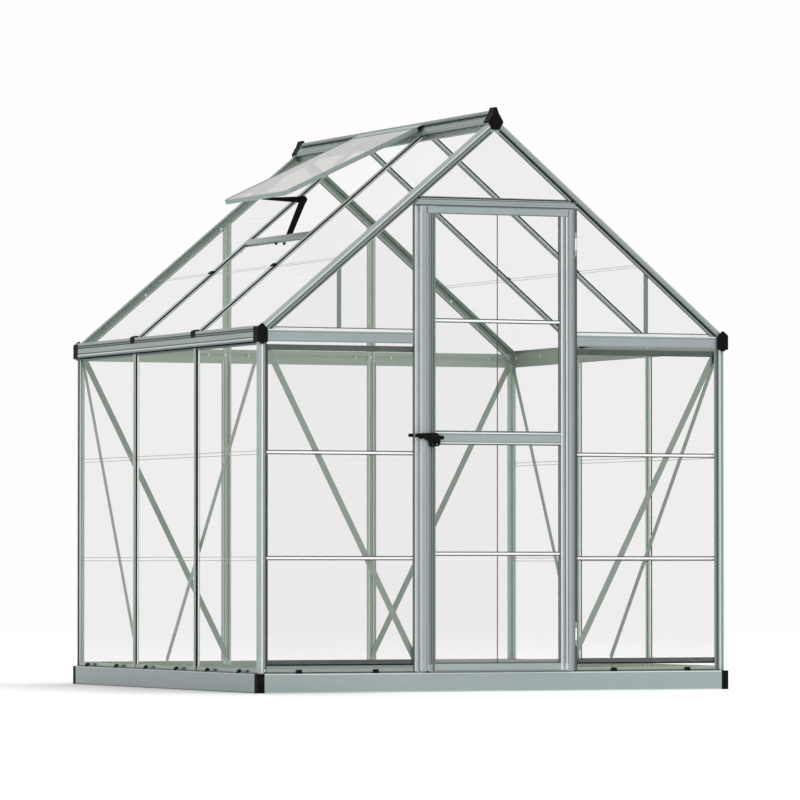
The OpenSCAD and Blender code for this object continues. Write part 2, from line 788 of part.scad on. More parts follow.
// Two-arm stay: foot on the cross rail, elbow, tip under the vent's lower rail
module roof_vent_stay() {
    w = 20;
    w_tip = 7;
    w_elbow = 24;
    t = 8;
    y = vent_y - 60;
    foot = [-sill_s * cos(pitch) + 9, apex_h - sill_s * sin(pitch) - 2];
    elbow = foot + [57, 132];
    tip = vent_xz(vent_len - 8, -vent_d - 1);
    color(plastic) difference() {
        union() {
            translate([0, y, 0]) rotate([90, 0, 0]) linear_extrude(t) flat_bar(foot, elbow, w, w_elbow);
            translate([0, y + t, 0]) rotate([90, 0, 0]) linear_extrude(t) flat_bar(tip, elbow, w_tip, w_elbow);
            translate([0, y + t, 0]) rotate([90, 0, 0]) linear_extrude(2 * t) translate(elbow) circle(14);
        }
        left_slope_frame() translate([sill_s, -big / 2, -big]) cube([big, big, big + 1]);
        vent_space() translate([0, -big / 2, -vent_d]) cube([big, big, big]);
    }
}

// ---------------------------------------------------------------- door
// Leaf: x from the middle, y is depth from the leaf's front face
stile_in = leaf_half - door_rail - stile_inner;
rail_half = leaf_half - door_rail;
step_d = 5;
leaf_sheet = 10;
groove_a = leaf_sheet - fit;
groove_b = leaf_sheet + sheet_t + fit;
mid_low = mid_z - mid_rail_h / 2;
mid_high = mid_z + mid_rail_h / 2;
module on_leaf() { translate([0, leaf_front, 0]) children(); }

module door_stiles() {
    low = leaf_z + door_rail;
    high = leaf_top - door_rail;
    color(alu) both_sides() on_leaf() {
        translate([rail_half, 0, leaf_z]) cube([door_rail, leaf_t, leaf_top - leaf_z]);
        translate([0, 0, low]) linear_extrude(high - low) polygon([[rail_half, step_d],
            [stile_in, step_d], [stile_in, groove_a], [stile_in + slot_deep, groove_a],
            [stile_in + slot_deep, groove_b], [stile_in, groove_b], [stile_in, leaf_t],
            [rail_half, leaf_t]]);
    }
}
// Rail section, drawn as (depth, height), slot in its top edge
module rail_section(h, front = 0) {
    polygon([[front, 0], [leaf_t, 0], [leaf_t, h], [groove_b, h], [groove_b, h - slot_deep],
        [groove_a, h - slot_deep], [groove_a, h], [front, h]]);
}
module door_rails() {
    color(alu) on_leaf() {
        run_x(-rail_half, rail_half) translate([0, leaf_z]) rail_section(door_rail);
        run_x(-rail_half, rail_half) translate([0, leaf_top]) mirror([0, 1, 0])
            rail_section(door_rail);
        run_x(-stile_in, stile_in) {
            translate([0, mid_z]) rail_section(mid_rail_h / 2, 2);
            translate([0, mid_z]) mirror([0, 1, 0]) rail_section(mid_rail_h / 2, 2);
        }
    }
}
module door_sheets() {
    half = stile_in + sheet_bite;
    low = leaf_z + door_rail - sheet_bite;
    high = leaf_top - door_rail + sheet_bite;
    gap = joiner_h / 2 + touch;
    color(clear) on_leaf() {
        translate([0, leaf_sheet - sheet_d, 0]) {
            for (s = [[-half, -seam_gap], [seam_gap, half]]) {
                sheet_rows(s, low, mid_low + sheet_bite, door_joints);
                sheet_rows(s, mid_high - sheet_bite, high, door_joints);
            }
            for (z = door_joints) joiner([-stile_in, stile_in], z);
            for (z = [[leaf_z + door_rail, door_joints[0] - gap], [door_joints[0] + gap, mid_low],
                    [mid_high, door_joints[1] - gap], [door_joints[1] + gap, leaf_top - door_rail]])
                translate([0, 0, z[0]]) linear_extrude(z[1] - z[0]) seam_section(sheet_d);
        }
    }
}

// Hinges: middle barrel on the leaf, end barrels, strap and pin on the post
knuckle = 20;
pin_r = 1.8;
module door_hinges() {
    h = hinge_len - 2 * knuckle - 1;
    color(alu) for (z = hinge_zs) translate([hinge_x, hinge_y, z + knuckle + 0.5]) difference() {
        union() {
            cylinder(r = barrel_r, h = h);
            translate([leaf_half - hinge_x, -barrel_r, 0]) cube([hinge_x - leaf_half, barrel_r, h]);
        }
        translate([0, 0, -1]) cylinder(r = pin_r + fit, h = h + 2);
    }
}
module hinge_brackets() {
    strap = 3;
    deep = -yo - hinge_y;
    color(alu) for (z = hinge_zs) translate([hinge_x, hinge_y, z]) {
        cylinder(r = pin_r, h = hinge_len);
        for (k = [0, hinge_len - knuckle]) translate([0, 0, k]) {
            cylinder(r = barrel_r, h = knuckle);
            translate([-1, 0, 0]) cube([strap, deep, knuckle]);
        }
        translate([-1, barrel_r + 1, 0]) cube([strap, deep - barrel_r - 1, hinge_len]);
        translate([-1, deep - 2, 0]) cube([post_half - 6, 2, hinge_len]);
    }
}

// Moulded latch: lever out over the free edge with a hook under it, body with a
// through hole, two padlock rings, and the pivot knob beside it
module door_handle() {
    x = -leaf_half;
    z = mid_high;
    rings = [[x + 60.5, z - 44.5], [x + 41.5, z - 46.5]];
    color(plastic) on_leaf() {
        slab(-12, 0) difference() {
            polygon([[x - 22.5, z - 7], [x + 58, z - 5], [x + 63.5, z - 9], [x + 70.5, z - 24],
                [x + 70.5, z - 42], [x + 32.5, z - 42], [x + 32, z - 37], [x + 3, z - 22],
                [x - 2, z - 27.5], [x - 6, z - 27], [x - 8, z - 22], [x - 22.5, z - 21.5]]);
            translate([x + 58, z - 20.5]) circle(4.6);
            for (c = rings) translate(c) circle(8.7);
        }
        for (c = rings) slab(-8, 0) translate(c) difference() {
            circle(9);
            circle(4.5);
        }
        slab(-9, 2) translate([x + 79, z - 21.5]) circle(7.5);
    }
}
// Moulded keep inside the post, a wedge that rises from its foot
module door_latch_keep() {
    z = mid_high - 13;
    w = 12;
    color(plastic) on_front() translate([-door_x, frame_d, z - w / 2]) linear_extrude(w)
        polygon([[-3, 0], [-30.5, 0], [-30.5, 8], [-22, 28], [-17, 26]]);
}

base_front();
base_back();
base_left();
base_right();
base_corner_caps();
sill_rails();
corner_posts();
side_wall_posts();
back_wall_posts();
door_posts();
door_transom();
front_tie_rails();
back_tie_rails();
left_gutter();
right_gutter();
gutter_end_caps();
front_gable_rafters();
back_gable_rafters();
gable_studs();
left_roof_rafters();
right_roof_rafters();
ridge_beam();
ridge_end_caps();
frame_clips();
wall_braces();
front_wall_sheets();
left_wall_sheets();
right_wall_sheets();
back_wall_sheets();
front_gable_sheets();
left_roof_sheets();
right_roof_sheets();
sheet_joiners();
sheet_edge_strips();
roof_vent_frame();
roof_vent_sheet();
roof_vent_sill();
roof_vent_stay();
door_stiles();
door_rails();
door_sheets();
door_hinges();
door_handle();
door_latch_keep();
hinge_brackets();
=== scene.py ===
"""Small gabled greenhouse: aluminium frame on a galvanised base, clear polycarbonate
sheets, hinged door and propped roof vent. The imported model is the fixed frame; this
script gives it its finishes, softens its mouldings and adds the seals, section lines,
edge beads and bolts. Places are in millimetres from the middle of the floor, and only
those of the camera, the studio floor and the lamps are in metres."""
import math

import bmesh
import bpy
from mathutils import Matrix, Vector


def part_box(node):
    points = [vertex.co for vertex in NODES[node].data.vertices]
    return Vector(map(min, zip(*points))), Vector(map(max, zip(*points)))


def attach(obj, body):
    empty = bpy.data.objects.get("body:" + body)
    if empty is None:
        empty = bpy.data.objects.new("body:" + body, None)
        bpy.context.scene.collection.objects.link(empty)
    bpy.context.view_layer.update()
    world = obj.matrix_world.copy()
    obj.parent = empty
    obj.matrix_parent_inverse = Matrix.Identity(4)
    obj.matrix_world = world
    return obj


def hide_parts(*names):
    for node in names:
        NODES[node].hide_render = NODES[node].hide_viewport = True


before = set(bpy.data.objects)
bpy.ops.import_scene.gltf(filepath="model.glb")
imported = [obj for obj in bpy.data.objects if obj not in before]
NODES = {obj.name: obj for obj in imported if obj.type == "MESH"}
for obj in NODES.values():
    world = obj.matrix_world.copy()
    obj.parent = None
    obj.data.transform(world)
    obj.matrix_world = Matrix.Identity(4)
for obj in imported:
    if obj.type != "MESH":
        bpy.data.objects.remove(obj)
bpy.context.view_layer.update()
MM = 0.001
# Corners nearer to each other than this, in metres, are one corner
SAME = 1e-5


# ------------------------------------------------------------------ camera
def look_from(place, pitch, yaw, lens):
    """A long lens at knee height, turned towards the door and left wall: metres, degrees
    and the lens in millimetres."""
    data = bpy.data.cameras.new("camera")
    data.lens = lens
    data.sensor_width = 36
    data.clip_start = 0.5
    data.clip_end = 200
    camera = bpy.data.objects.new("camera", data)
    camera.location = place
    camera.rotation_euler = (math.radians(90 + pitch), 0, math.radians(-yaw))
    bpy.context.scene.collection.objects.link(camera)
    bpy.context.scene.camera = camera


look_from((-8.5936, -19.7594, 0.4407), pitch=1.66, yaw=23.57, lens=260.55)


# ------------------------------------------------------------------ colours and nodes
def linear(code, alpha=1.0):
    """An sRGB hex colour as linear light."""
    parts = [int(code[i:i + 2], 16) / 255 for i in (1, 3, 5)]
    return tuple(c / 12.92 if c <= 0.04045 else ((c + 0.055) / 1.055) ** 2.4
                 for c in parts) + (alpha,)


def add(tree, kind, inputs=(), **settings):
    """Adds one node: its settings, then its inputs as values or as nodes to link from."""
    node = tree.nodes.new(kind)
    for name, value in settings.items():
        setattr(node, name, value)
    for key, value in dict(inputs).items():
        for one in value if isinstance(value, list) else [value]:
            if isinstance(one, bpy.types.Node):
                one = one.outputs[0]
            if isinstance(one, bpy.types.NodeSocket):
                tree.links.new(one, node.inputs[key])
            else:
                node.inputs[key].default_value = one
    return node


def new_material(name):
    """An empty material and its node tree."""
    material = bpy.data.materials.new(name)
    material.use_nodes = True
    material.node_tree.nodes.clear()
    return material, material.node_tree


def finish_with(tree, shader):
    """Joins the last shader to the material's surface."""
    add(tree, "ShaderNodeOutputMaterial", {"Surface": shader})


# ------------------------------------------------------------------ the building's own lines
def box_of(points):
    """Low and high corners round some points, in millimetres."""
    return [Vector([pick(p[i] for p in points) / MM for i in range(3)]) for pick in (min, max)]


def node_box(node):
    """Low and high corners of a CAD node, in millimetres."""
    return box_of(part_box(node))


def roof_pitch_and_apex():
    """Pitch of the roof, and the height where the rafters' top lines meet."""
    sheets = NODES["left_roof_sheets"].data
    face = max(sheets.polygons, key=lambda p: p.area * (p.normal.z > 0.1))
    pitch = math.atan2(-face.normal.x, face.normal.z)
    rafters = NODES["front_gable_rafters"].data
    apex = max(v.co.z + abs(v.co.x) * math.tan(pitch) for v in rafters.vertices)
    return pitch, apex / MM


PITCH, APEX = roof_pitch_and_apex()

# Which way the front, the left side and the left roof slope face
OUT, LEFT = (0, -1, 0), (-1, 0, 0)
UP_SLOPE = (-math.sin(PITCH), 0, math.cos(PITCH))
# Outer faces of the frame on the left and in front, and tops of the base plates and sill
SIDE, FRONT = (round(c) for c in node_box("corner_posts")[0].xy)
BASE_TOP = round(node_box("base_front")[1].z)
SILL_TOP = round(node_box("sill_rails")[1].z)
# The beads up the posts stop short of their ends
POST_FOOT, POST_HEAD = BASE_TOP + 2, round(node_box("corner_posts")[1].z) - 2
# Outer faces of the door leaf, the front sheets and the base plates
LEAF = round(node_box("door_stiles")[0].y)
PANE = round(node_box("front_wall_sheets")[0].y)
BASE_FRONT = round(node_box("base_front")[0].y)
BASE_SIDE = round(node_box("base_left")[0].x)
# Inner faces of the end walls and of the gutters
INNER = round(node_box("back_wall_posts")[0].y)
GUTTER_INNER = round(node_box("right_gutter")[0].x)
# The side posts and the roof bars are in line, so far each way from the middle
HALF_POST = 16
BAY = round(node_box("side_wall_posts")[1].y) - HALF_POST
# Where the base plates' tops meet the sill along the sides
SILL_EDGE = SIDE - 5


def roof_z(x, deep=0.0):
    """Height of the roof line, or of a line so deep under it."""
    return APEX - abs(x) * math.tan(PITCH) - deep / math.cos(PITCH)


def solids(node):
    """Each separate solid of a CAD node, as a list of its corners, always in one order."""
    mesh = bmesh.new()
    mesh.from_mesh(NODES[node].data)
    bmesh.ops.remove_doubles(mesh, verts=mesh.verts, dist=SAME)
    met, out = set(), []
    for first in mesh.verts:
        if first in met:
            continue
        met.add(first)
        island = [first]
        # The list grows while it is walked, until no neighbour is new
        for v in island:
            for e in v.link_edges:
                w = e.other_vert(v)
                if w not in met:
                    met.add(w)
                    island.append(w)
        out.append([v.co.copy() for v in island])
    mesh.free()
    return out


# ------------------------------------------------------------------ finishes
def aluminium(name, run, outside="#a4b0b0", inside="#98a497"):
    """Mill-finish aluminium extrusion: a dull satin grey with faint die lines along its
    run, with a painted green reflection on the faces that look into the building."""
    material, tree = new_material(name)
    at = add(tree, "ShaderNodeTexCoord")
    # Die lines are a few tenths of a millimetre apart; drawn 3 mm apart so that they show,
    # and drawn out to a third of a metre along the run
    across, along = 330, 3
    scale = [across] * 3
    if run in "xyz":
        scale["xyz".index(run)] = along
        lined = add(tree, "ShaderNodeMapping", {"Vector": at.outputs["Object"],
                                                "Scale": tuple(scale)})
    else:
        # Down the roof: both slopes are laid over the right one, then turned level
        split = add(tree, "ShaderNodeSeparateXYZ", {0: at.outputs["Object"]})
        off = add(tree, "ShaderNodeMath", {0: split.outputs[0]}, operation="ABSOLUTE")
        flat = add(tree, "ShaderNodeCombineXYZ", {0: off, 1: split.outputs[1],
                                                  2: split.outputs[2]})
        turned = add(tree, "ShaderNodeMapping", {"Vector": flat, "Rotation": (0, -PITCH, 0)})
        lined = add(tree, "ShaderNodeMapping", {"Vector": turned,
                                                "Scale": (along, across, across)})
    lines = add(tree, "ShaderNodeTexNoise", {"Vector": lined, "Scale": 1.0, "Detail": 2.0})
    # Faint clouds a hand wide, 110 mm
    cloud = add(tree, "ShaderNodeTexNoise", {"Vector": at.outputs["Object"],
                                             "Scale": 9.0, "Detail": 3.0})
    # Negative where the face looks towards the middle of the building, where the green reflection
    # is painted
    facing = add(tree, "ShaderNodeVectorMath", {0: at.outputs["Normal"],
                                                1: at.outputs["Object"]}, operation="DOT_PRODUCT")
    inward = add(tree, "ShaderNodeMapRange", {0: facing.outputs["Value"], 1: 0.05, 2: -0.05})
    base = add(tree, "ShaderNodeMix", {"Factor": inward, "A": linear(outside),
                                       "B": linear(inside)}, data_type="RGBA")
    shade = add(tree, "ShaderNodeMapRange", {0: lines, 1: 0.3, 2: 0.7, 3: 0.94, 4: 1.05})
    cast = add(tree, "ShaderNodeMapRange", {0: cloud, 1: 0.3, 2: 0.7, 3: 0.97, 4: 1.03})
    both = add(tree, "ShaderNodeMath", {0: shade, 1: cast}, operation="MULTIPLY")
    colour = add(tree, "ShaderNodeVectorMath", {0: base.outputs["Result"], "Scale": both},
                 operation="SCALE")
    rough = add(tree, "ShaderNodeMapRange", {0: lines, 1: 0.3, 2: 0.7, 3: 0.38, 4: 0.5})
    bump = add(tree, "ShaderNodeBump", {"Height": lines, "Distance": 0.0002, "Strength": 0.25})
    finish_with(tree, add(tree, "ShaderNodeBsdfPrincipled", {
        "Base Color": colour, "Metallic": 1.0, "Roughness": rough, "Normal": bump}))
    return material


def galvanised_steel(name, tint):
    """Galvanised and sealed steel sheet, folded: grey-blue with a soft spangle."""
    material, tree = new_material(name)
    at = add(tree, "ShaderNodeTexCoord")
    # Spangle grains 11 mm across, under clouds 170 mm wide
    spangle = add(tree, "ShaderNodeTexVoronoi", {"Vector": at.outputs["Object"], "Scale": 90.0})
    cloud = add(tree, "ShaderNodeTexNoise", {"Vector": at.outputs["Object"],
                                             "Scale": 6.0, "Detail": 3.0})
    tone = add(tree, "ShaderNodeMapRange", {0: spangle.outputs["Distance"],
                                            1: 0.0, 2: 0.6, 3: 0.985, 4: 1.02})
    cast = add(tree, "ShaderNodeMapRange", {0: cloud, 1: 0.3, 2: 0.7, 3: 0.98, 4: 1.02})
    both = add(tree, "ShaderNodeMath", {0: tone, 1: cast}, operation="MULTIPLY")
    colour = add(tree, "ShaderNodeVectorMath", {0: linear(tint)[:3], "Scale": both},
                 operation="SCALE")
    rough = add(tree, "ShaderNodeMapRange", {0: cloud, 1: 0.3, 2: 0.7, 3: 0.5, 4: 0.6})
    finish_with(tree, add(tree, "ShaderNodeBsdfPrincipled", {
        "Base Color": colour, "Metallic": 0.85, "Roughness": rough}))
    return material


def clear_sheet(name, tint, haze="#ffffff", haze_share=0.0, gloss_share=1.0):
    """Extruded clear polycarbonate: glossy and a little grey through its thickness. A
    weathered sheet also scatters a share of the light as haze."""
    material, tree = new_material(name)
    at = add(tree, "ShaderNodeTexCoord")
    # The sheet's own waviness, a third of a metre from crest to crest
    wave = add(tree, "ShaderNodeTexNoise", {"Vector": at.outputs["Object"],
                                            "Scale": 3.0, "Detail": 1.0})
    rough = add(tree, "ShaderNodeMapRange", {0: wave, 1: 0.3, 2: 0.7, 3: 0.1, 4: 0.14})
    through = add(tree, "ShaderNodeBsdfTransparent", {"Color": linear(tint)})
    if haze_share:
        # Dust in patches 70 mm wide
        dust = add(tree, "ShaderNodeTexNoise", {"Vector": at.outputs["Object"],
                                                "Scale": 14.0, "Detail": 4.0})
        level = add(tree, "ShaderNodeMapRange", {0: dust, 1: 0.3, 2: 0.7, 3: haze_share * 0.9,
                                                 4: haze_share * 1.1})
        dull = add(tree, "ShaderNodeBsdfDiffuse", {"Color": linear(haze)})
        through = add(tree, "ShaderNodeMixShader", {0: level, 1: through, 2: dull})
    gloss = add(tree, "ShaderNodeBsdfGlossy", {"Color": (0.8, 0.82, 0.82, 1), "Roughness": rough})
    edge = add(tree, "ShaderNodeFresnel", {"IOR": 1.585})
    # Gloss on the outer side of each face only, and only its share, so that the thin
    # sheet stays clear
    side = add(tree, "ShaderNodeNewGeometry")
    front = add(tree, "ShaderNodeMath", {0: gloss_share, 1: side.outputs["Backfacing"]},
                operation="SUBTRACT", use_clamp=True)
    share = add(tree, "ShaderNodeMath", {0: edge, 1: front}, operation="MULTIPLY")
    finish_with(tree, add(tree, "ShaderNodeMixShader", {0: share, 1: through, 2: gloss}))
    return material


def grained(name, dark, light, rough, grain=2.0, metallic=0.0, specular=0.5, alpha=1.0,
            ior=1.5):
    """A matt surface of one material. Its real grain is a few tenths of a millimetre; the
    bump is drawn so many millimetres wide that it shows, under soft patches of tone
    sixteen grains wide."""
    material, tree = new_material(name)
    at = add(tree, "ShaderNodeTexCoord")
    noise = add(tree, "ShaderNodeTexNoise", {"Vector": at.outputs["Object"],
                                             "Scale": 1000 / grain, "Detail": 2.0})
    cloud = add(tree, "ShaderNodeTexNoise", {"Vector": at.outputs["Object"],
                                             "Scale": 1000 / (16 * grain)})
    tone = add(tree, "ShaderNodeMix", {"Factor": cloud, "A": linear(dark), "B": linear(light)},
               data_type="RGBA")
    bump = add(tree, "ShaderNodeBump", {"Height": noise, "Distance": 0.0003, "Strength": 0.4})
    finish_with(tree, add(tree, "ShaderNodeBsdfPrincipled", {
        "Base Color": tone.outputs["Result"], "Roughness": rough, "Metallic": metallic,
        "Alpha": alpha, "Specular IOR Level": specular, "IOR": ior, "Normal": bump}))
    return material


# Each section's die lines run one way; then come its tones outside and inside. All are one
# mill-finish aluminium: the tones differ between sections as painted light and shade, and the
# greener insides are a painted reflection.
UPRIGHT = aluminium("mill_aluminium_upright", "z")
CORNER = aluminium("mill_aluminium_corner_post", "z", "#a4b0b0", "#b8c4ba")
LEAF_FRAME = aluminium("mill_aluminium_door_leaf", "z", "#a4b0b0", "#9eaaa5")
CROSS = aluminium("mill_aluminium_cross", "x", "#a4b0b0", "#a8b6a8")
LONG = aluminium("mill_aluminium_long", "y", "#9ba6a5", "#97a397")
RIDGE = aluminium("mill_aluminium_ridge", "y", "#8f9b9a", "#8f9b90")
SLOPED = aluminium("mill_aluminium_sloped", "slope", "#a3adae", "#88968c")
VENT_RAIL = aluminium("mill_aluminium_vent_rail", "slope", "#a0aca8", "#96a49f")
# The sections between the sheets of the long walls and roof look into the building on
# most sides: painted lighter outside, as lit, and with a painted green reflection inside
WALL_POST = aluminium("mill_aluminium_wall_post", "z", "#b9c1b7", "#b2c0b2")
ROOF_BAR = aluminium("mill_aluminium_roof_bar", "slope", "#b8bfb3", "#98a59a")
SILL = aluminium("mill_aluminium_sill", "x", "#9ca79c", "#97a395")
BRACE = aluminium("mill_aluminium_flat_bar", "z", "#9ba69c", "#96a297")
STUD = aluminium("mill_aluminium_gable_stud", "z", "#8a9590", "#84918a")
# All four plates are one galvanised steel; the side plates' darker tint is painted shade
STEEL_END = galvanised_steel("galvanised_steel_end_plate", "#a5b0b0")
STEEL_SIDE = galvanised_steel("galvanised_steel_side_plate_painted_shade", "#9ea7a8")
# The end walls shine a little more than the long sides, the strips between the sheets
# more again, and the roof vent's sheet is weathered
CLEAR = clear_sheet("clear_polycarbonate", "#fcfcfc", gloss_share=0.06)
CLEAR_END = clear_sheet("clear_polycarbonate_end_wall", "#fafafa", gloss_share=0.15)
JOINER = clear_sheet("clear_joiner_strip", "#ffffff", gloss_share=0.2)
HAZY = clear_sheet("weathered_polycarbonate", "#f1efec", haze="#bcb9b3", haze_share=0.30)
# Frosted edge band of a polycarbonate sheet: matt and a little translucent, in a dark
# grey-green that is painted shade of the flange behind it
BAND = grained("frosted_polycarbonate_band", "#4f5953", "#616b65", 0.6, grain=2.5, specular=0.2,
               alpha=0.88)
# Moulded nylon: black, with almost no shine
NYLON = grained("moulded_black_nylon", "#0c0c0d", "#171718", 0.55, specular=0.04, ior=1.53)
# The same nylon with a painted highlight, paler along a rib
RIB = grained("nylon_rib_painted_highlight", "#2f3032", "#47484a", 0.5, specular=0.3, ior=1.53)
# Extruded rubber: the glazing seals, near black and matt. The same black also paints the
# shadow in gaps under lips and beside the sections
SEAL_AND_SHADOW = grained("extruded_epdm_seal", "#0c110e", "#181f1a", 0.75, specular=0.05)
# Painted shade on aluminium: darkest in the bottom of a groove, behind a step and under a
# lip, lighter on a step in shade
GROOVE = grained("dusty_aluminium_groove", "#4b524f", "#575e5b", 0.6, metallic=0.4,
                 specular=0.2)
SHADE = grained("shaded_aluminium_step", "#68716e", "#747d7a", 0.6, metallic=0.4, specular=0.2)
# Painted half shade on the face of a step
STEP = grained("aluminium_step_painted_half_shade", "#89938f", "#929c99", 0.55, metallic=0.6)
# Painted highlight along an arris, and a painted lighter tone on faces that catch the
# light, such as those that look to the sky
ARRIS = grained("aluminium_arris_painted_highlight", "#e4ecea", "#f2f8f6", 0.4, metallic=0.3, specular=0.3)
PALE = grained("pale_aluminium_face", "#c6cfcf", "#d2dbdb", 0.45, metallic=0.3, specular=0.3)
# Edges of the sheet joiners: a thin dark line on the front, a fainter one elsewhere
JOINT_EDGE = grained("polycarbonate_joint_edge", "#4f5150", "#5d5f5e", 0.5, specular=0.2,
                     alpha=0.95)
FAINT_EDGE = grained("clear_joint_edge", "#8f8f8a", "#9d9d98", 0.5, specular=0.2, alpha=0.5)
# Cut edges and returns of the clear sheets, which catch the light as a white band
SHEET_EDGE = grained("polycarbonate_cut_edge", "#f3f4f1", "#fbfbf9", 0.4, specular=0.2)
# Bolts: zinc-plated steel, bright
ZINC = grained("zinc_plated_bolt", "#c9cfcc", "#eceeec", 0.3, metallic=1.0)

# What each CAD node is made of
FINISH = {
    CORNER: "corner_posts",
    UPRIGHT: "door_posts door_hinges hinge_brackets",
    LEAF_FRAME: "door_stiles door_rails",
    CROSS: "door_transom front_tie_rails back_tie_rails",
    LONG: "left_gutter right_gutter roof_vent_sill",
    RIDGE: "ridge_beam",
    SLOPED: "front_gable_rafters back_gable_rafters",
    VENT_RAIL: "roof_vent_frame",
    WALL_POST: "side_wall_posts back_wall_posts",
    ROOF_BAR: "left_roof_rafters right_roof_rafters",
    SILL: "sill_rails",
    BRACE: "wall_braces",
    STUD: "gable_studs",
    STEEL_END: "base_front base_back",
    STEEL_SIDE: "base_left base_right",
    CLEAR: "left_wall_sheets right_wall_sheets left_roof_sheets right_roof_sheets",
    CLEAR_END: "front_wall_sheets front_gable_sheets back_wall_sheets door_sheets",
    JOINER: "sheet_joiners",
    HAZY: "roof_vent_sheet",
    BAND: "sheet_edge_strips",
    NYLON: "base_corner_caps gutter_end_caps ridge_end_caps frame_clips roof_vent_stay door_handle "
           "door_latch_keep",
}
for material, names in FINISH.items():
    for name in names.split():
        for held in NODES[name].material_slots:
            held.material = material


# ------------------------------------------------------------------ moulded pieces
def link(name, mesh, body):
    """Puts a finished mesh into the scene as a piece of one body."""
    piece = bpy.data.objects.new(name, mesh)
    bpy.context.scene.collection.objects.link(piece)
    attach(piece, body)
    return piece


def evaluated(carrier):
    """The mesh that a carrier's modifiers make, as plain data."""
    graph = bpy.context.evaluated_depsgraph_get()
    return bpy.data.meshes.new_from_object(carrier.evaluated_get(graph))


def softened(node, name, body, width, material, reshape=None):
    """A moulding with rounded edges, so many millimetres wide, in place of its sharp-edged
    CAD node."""
    shape = bmesh.new()
    shape.from_mesh(NODES[node].data)
    bmesh.ops.remove_doubles(shape, verts=shape.verts, dist=SAME)
    if reshape:
        for vert in shape.verts:
            vert.co = reshape(vert.co / MM) * MM
    bmesh.ops.dissolve_limit(shape, angle_limit=math.radians(2), verts=shape.verts,
                             edges=shape.edges)
    mesh = bpy.data.meshes.new(name)
    shape.to_mesh(mesh)
    shape.free()
    carrier = bpy.data.objects.new(name + "_carrier", mesh)
    bpy.context.scene.collection.objects.link(carrier)
    bevel = carrier.modifiers.new("rounded", "BEVEL")
    bevel.width = width * MM
    bevel.segments = 3
    bevel.limit_method = "ANGLE"
    bevel.angle_limit = math.radians(30)
    mesh = evaluated(carrier)
    bpy.data.objects.remove(carrier)
    mesh.materials.clear()
    mesh.materials.append(material)
    for face in mesh.polygons:
        face.use_smooth = False
    piece = link(name, mesh, body)
    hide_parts(node)


softened("gutter_end_caps", "rounded_eave_caps", "house", 2.5, NYLON)
softened("ridge_end_caps", "rounded_ridge_caps", "house", 2.5, NYLON)
softened("base_corner_caps", "rounded_base_corners", "house", 2.0, NYLON)
softened("roof_vent_stay", "rounded_vent_stay", "house", 1.8, NYLON)
softened("door_handle", "rounded_door_handle", "door", 1.2, NYLON)


def clip_shape(at):
    """The hooks along the base stand half as high again as their plain solids, and the
    caps over the rafters' feet draw in towards their foot and their top."""
    hook_low, hook_high, rise = BASE_TOP, BASE_TOP + 10, 1.55
    if hook_low <= at.z <= hook_high:
        at.z = hook_low + (at.z - hook_low) * rise
    cap_low, waist_low, seat, waist_high, crown = 1260, 1275, 1290, 1296, 1300
    cap_back, lip, face = 890, 900, 913
    if at.z > cap_low and abs(at.x) > cap_back:
        bar = math.copysign(BAY, at.y)
        narrowed = 0.72 if at.z < waist_low or at.z > waist_high else 0.95
        at.y = bar + (at.y - bar) * narrowed
        if abs(at.x) < lip:
            # The lip over the gutter's trough is drawn back and bent down
            at.x = math.copysign(lip + 3, at.x)
            at.z -= 3 if at.z > crown else 14
        elif abs(at.x) < face and at.z < seat:
            # The leg in the trough is longer
            at.z -= 7
    return at


softened("frame_clips", "rounded_clips", "house", 1.0, NYLON, reshape=clip_shape)


# ------------------------------------------------------------------ what is laid or set in rows
def laid_tree(name, shape):
    """Geometry Nodes: one shape set on every point, turned and sized by the point."""
    tree = bpy.data.node_groups.new(name, "GeometryNodeTree")
    sockets = (("Places", "INPUT", "Geometry"), ("Finish", "INPUT", "Material"),
               ("Head Height", "INPUT", "Float"), ("Mesh", "OUTPUT", "Geometry"))
    for socket, in_out, kind in sockets:
        tree.interface.new_socket(socket, in_out=in_out, socket_type="NodeSocket" + kind)
    given = add(tree, "NodeGroupInput")
    turn = add(tree, "GeometryNodeInputNamedAttribute", {"Name": "turn"},
               data_type="FLOAT_VECTOR")
    size = add(tree, "GeometryNodeInputNamedAttribute", {"Name": "size"},
               data_type="FLOAT_VECTOR")
    rotation = add(tree, "FunctionNodeEulerToRotation", {0: turn})
    placed = add(tree, "GeometryNodeInstanceOnPoints", {
        "Points": given.outputs["Places"], "Instance": shape(tree, given.outputs["Head Height"]),
        "Rotation": rotation, "Scale": size})
    real = add(tree, "GeometryNodeRealizeInstances", {0: placed})
    finished = add(tree, "GeometryNodeSetMaterial", {"Geometry": real,
                                                     "Material": given.outputs["Finish"]})
    add(tree, "NodeGroupOutput", {0: finished})
    return tree


def bead_shape(tree, _):
    """A flat six-sided bar along x, one long and one wide, half sunk in its face."""
    path = add(tree, "GeometryNodeCurvePrimitiveLine", {"Start": (0, 0, 0), "End": (1, 0, 0)})
    section = add(tree, "GeometryNodeCurvePrimitiveCircle", {"Resolution": 6, "Radius": 0.5})
    return add(tree, "GeometryNodeCurveToMesh", {"Curve": path, "Profile Curve": section,
                                                 "Fill Caps": True})


def bolt_shape(tree, head_height):
    """A washer with a hexagon head on it, standing on z = 0, one in radius."""
    washer = add(tree, "GeometryNodeMeshCylinder", {"Vertices": 16, "Radius": 1.0, "Depth": 0.3})
    head = add(tree, "GeometryNodeMeshCylinder", {"Vertices": 6, "Radius": 0.72,
                                                  "Depth": head_height})
    return add(tree, "GeometryNodeJoinGeometry", {0: [washer, head]})


BEADS = laid_tree("laid_beads", bead_shape)
BOLTS = laid_tree("set_bolts", bolt_shape)


